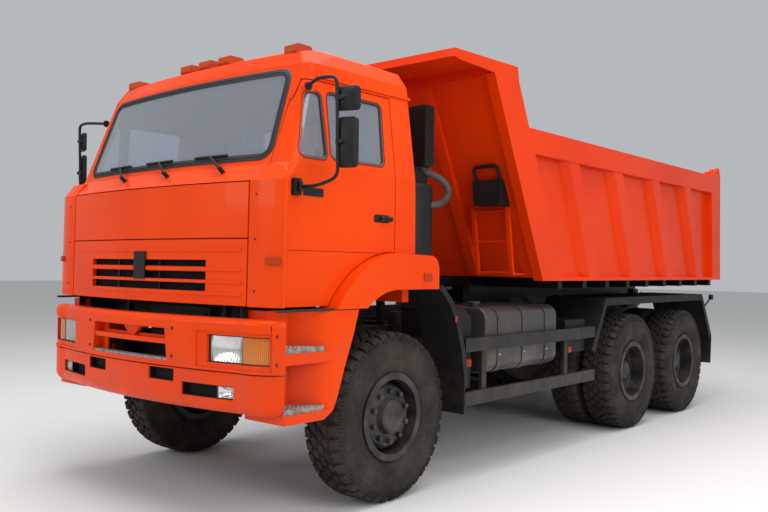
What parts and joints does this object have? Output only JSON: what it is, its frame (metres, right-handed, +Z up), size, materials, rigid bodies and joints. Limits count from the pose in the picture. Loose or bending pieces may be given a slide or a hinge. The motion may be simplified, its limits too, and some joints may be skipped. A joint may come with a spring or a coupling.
{
  "type": "dump truck",
  "caption": "Three-axle all-wheel-drive dump truck with tilting cab, opening doors and front lid, steered wheels, and a rear-tipping ribbed body on a telescopic hoist with a top-hung tailgate.",
  "frame": {"origin": "On the ground, under the middle of the overall length and width.", "axes": "+Z up, -Y forward, +X to the driver's left."},
  "size_m": [3.0766, 7.3468, 3.1348],
  "materials": {
    "orange": "glossy orange enamel",
    "black_metal": "semi-matt black chassis paint",
    "dark_plastic": "moulded black plastic",
    "rim_metal": "satin black wheel paint",
    "tyre_rubber": "dusty dark rubber",
    "glass": "tinted safety glass",
    "lamp": "clear and amber lenses",
    "cast": "painted castings",
    "grey_tank": "dark grey enamel",
    "trim": "grained cab trim",
    "seat_cloth": "woven seat cloth",
    "steel": "ground hoist tube"
  },
  "bodies": {
    "chassis": {"frame_rails": "black_metal", "cross_members": "black_metal", "engine_block": "cast", "driveline": "cast", "front_axle": "cast", "rear_axles": "cast", "leaf_springs": "cast", "bumper": "orange", "chassis_lamps": "lamp", "step_fenders": "orange", "mudguards": "dark_plastic", "side_guards": "black_metal", "fuel_tank": "grey_tank", "equipment_boxes": "dark_plastic", "air_tanks_silencer": "black_metal", "air_intake": "dark_plastic"},
    "cab": {"cab_roof": "orange", "cab_front": "orange", "cab_back": "orange", "cab_glass": "glass", "cab_floor": "black_metal", "grille_panel": "orange", "corner_deflectors": "orange", "dashboard": "trim", "seats": "seat_cloth", "wheel_flares": "orange", "wipers": "dark_plastic", "cab_lamps": "lamp"},
    "front_lid": {"hood_panel": "orange"},
    "door_left": {"left_door": "orange", "left_door_glass": "glass", "left_mirrors": "dark_plastic"},
    "door_right": {"right_door": "orange", "right_door_glass": "glass", "right_mirrors": "dark_plastic"},
    "knuckle_left": {"left_knuckle": "cast"},
    "knuckle_right": {"right_knuckle": "cast"},
    "bed": {"bed_left_side": "orange", "bed_right_side": "orange", "bed_floor": "orange", "bed_front_wall": "orange", "wheel_chock": "dark_plastic"},
    "gate": {"tailgate": "orange"},
    "barrel": {"hoist_barrel": "black_metal"},
    "stage_1": {"hoist_stage_1": "steel"},
    "stage_2": {"hoist_stage_2": "steel"},
    "stage_3": {"hoist_stage_3": "steel"},
    "stage_4": {"hoist_stage_4": "steel"},
    "front_wheel_left": {"front_left_rim": "rim_metal", "front_left_tyre": "tyre_rubber"},
    "second_wheels_left": {"second_left_rims": "rim_metal", "second_left_tyres": "tyre_rubber"},
    "third_wheels_left": {"third_left_rims": "rim_metal", "third_left_tyres": "tyre_rubber"},
    "front_wheel_right": {"front_right_rim": "rim_metal", "front_right_tyre": "tyre_rubber"},
    "second_wheels_right": {"second_right_rims": "rim_metal", "second_right_tyres": "tyre_rubber"},
    "third_wheels_right": {"third_right_rims": "rim_metal", "third_right_tyres": "tyre_rubber"}
  },
  "joints": [
    {"name": "cab_tilt", "type": "hinge", "parent": "chassis", "child": "cab", "pos_m": [0, -3.5065, 1], "axis": [1, 0, 0], "range_deg": [0, 50]},
    {"name": "hood_lift", "type": "hinge", "parent": "cab", "child": "front_lid", "pos_m": [0, -3.5675, 2.037], "axis": [-1, 0, 0], "range_deg": [0, 75]},
    {"name": "left_door_hinge", "type": "hinge", "parent": "cab", "child": "door_left", "pos_m": [1.164, -3.3855, 1.7], "axis": [0, 0, -1], "range_deg": [0, 70]},
    {"name": "right_door_hinge", "type": "hinge", "parent": "cab", "child": "door_right", "pos_m": [-1.164, -3.3855, 1.7], "axis": [0, 0, 1], "range_deg": [0, 70]},
    {"name": "left_steer", "type": "hinge", "parent": "chassis", "child": "knuckle_left", "pos_m": [0.9, -2.4015, 0.561], "axis": [0, 0, 1], "range_deg": [-32, 32]},
    {"name": "right_steer", "type": "hinge", "parent": "chassis", "child": "knuckle_right", "pos_m": [-0.9, -2.4015, 0.561], "axis": [0, 0, 1], "range_deg": [-32, 32]},
    {"name": "front_left_spin", "type": "hinge", "parent": "knuckle_left", "child": "front_wheel_left", "pos_m": [1.04, -2.4015, 0.561], "axis": [1, 0, 0], "continuous": true},
    {"name": "front_right_spin", "type": "hinge", "parent": "knuckle_right", "child": "front_wheel_right", "pos_m": [-1.04, -2.4015, 0.561], "axis": [1, 0, 0], "continuous": true},
    {"name": "second_left_spin", "type": "hinge", "parent": "chassis", "child": "second_wheels_left", "pos_m": [0.93, 1.1985, 0.561], "axis": [1, 0, 0], "continuous": true},
    {"name": "second_right_spin", "type": "hinge", "parent": "chassis", "child": "second_wheels_right", "pos_m": [-0.93, 1.1985, 0.561], "axis": [1, 0, 0], "continuous": true},
    {"name": "third_left_spin", "type": "hinge", "parent": "chassis", "child": "third_wheels_left", "pos_m": [0.93, 2.5185, 0.561], "axis": [1, 0, 0], "continuous": true},
    {"name": "third_right_spin", "type": "hinge", "parent": "chassis", "child": "third_wheels_right", "pos_m": [-0.93, 2.5185, 0.561], "axis": [1, 0, 0], "continuous": true},
    {"name": "bed_tilt", "type": "hinge", "parent": "chassis", "child": "bed", "pos_m": [0, 3.0185, 1.275], "axis": [-1, 0, 0], "range_deg": [0, 50]},
    {"name": "tailgate_swing", "type": "hinge", "parent": "bed", "child": "gate", "pos_m": [0, 3.6285, 2.765], "axis": [1, 0, 0], "range_deg": [0, 60]},
    {"name": "hoist_swing", "type": "hinge", "parent": "chassis", "child": "barrel", "pos_m": [0, 0.5485, 0.83], "axis": [-1, 0, 0], "range_deg": [0, 21.61]},
    {"name": "hoist_extend_1", "type": "slide", "parent": "barrel", "child": "stage_1", "axis": [0, 0, 1], "range_m": [0, 0.51725]},
    {"name": "hoist_extend_2", "type": "slide", "parent": "stage_1", "child": "stage_2", "axis": [0, 0, 1], "range_m": [0, 0.51725]},
    {"name": "hoist_extend_3", "type": "slide", "parent": "stage_2", "child": "stage_3", "axis": [0, 0, 1], "range_m": [0, 0.51725]},
    {"name": "hoist_extend_4", "type": "slide", "parent": "stage_3", "child": "stage_4", "axis": [0, 0, 1], "range_m": [0, 0.51725]}
  ],
  "couplings": [
    {"joint": "right_steer", "follows": "left_steer", "ratio": 1},
    {"joint": "hoist_swing", "follows": "bed_tilt", "ratio": 0.432},
    {"joint": "hoist_extend_1", "follows": "bed_tilt", "m_per_rad": 0.5925},
    {"joint": "hoist_extend_2", "follows": "bed_tilt", "m_per_rad": 0.5925},
    {"joint": "hoist_extend_3", "follows": "bed_tilt", "m_per_rad": 0.5925},
    {"joint": "hoist_extend_4", "follows": "bed_tilt", "m_per_rad": 0.5925}
  ]
}
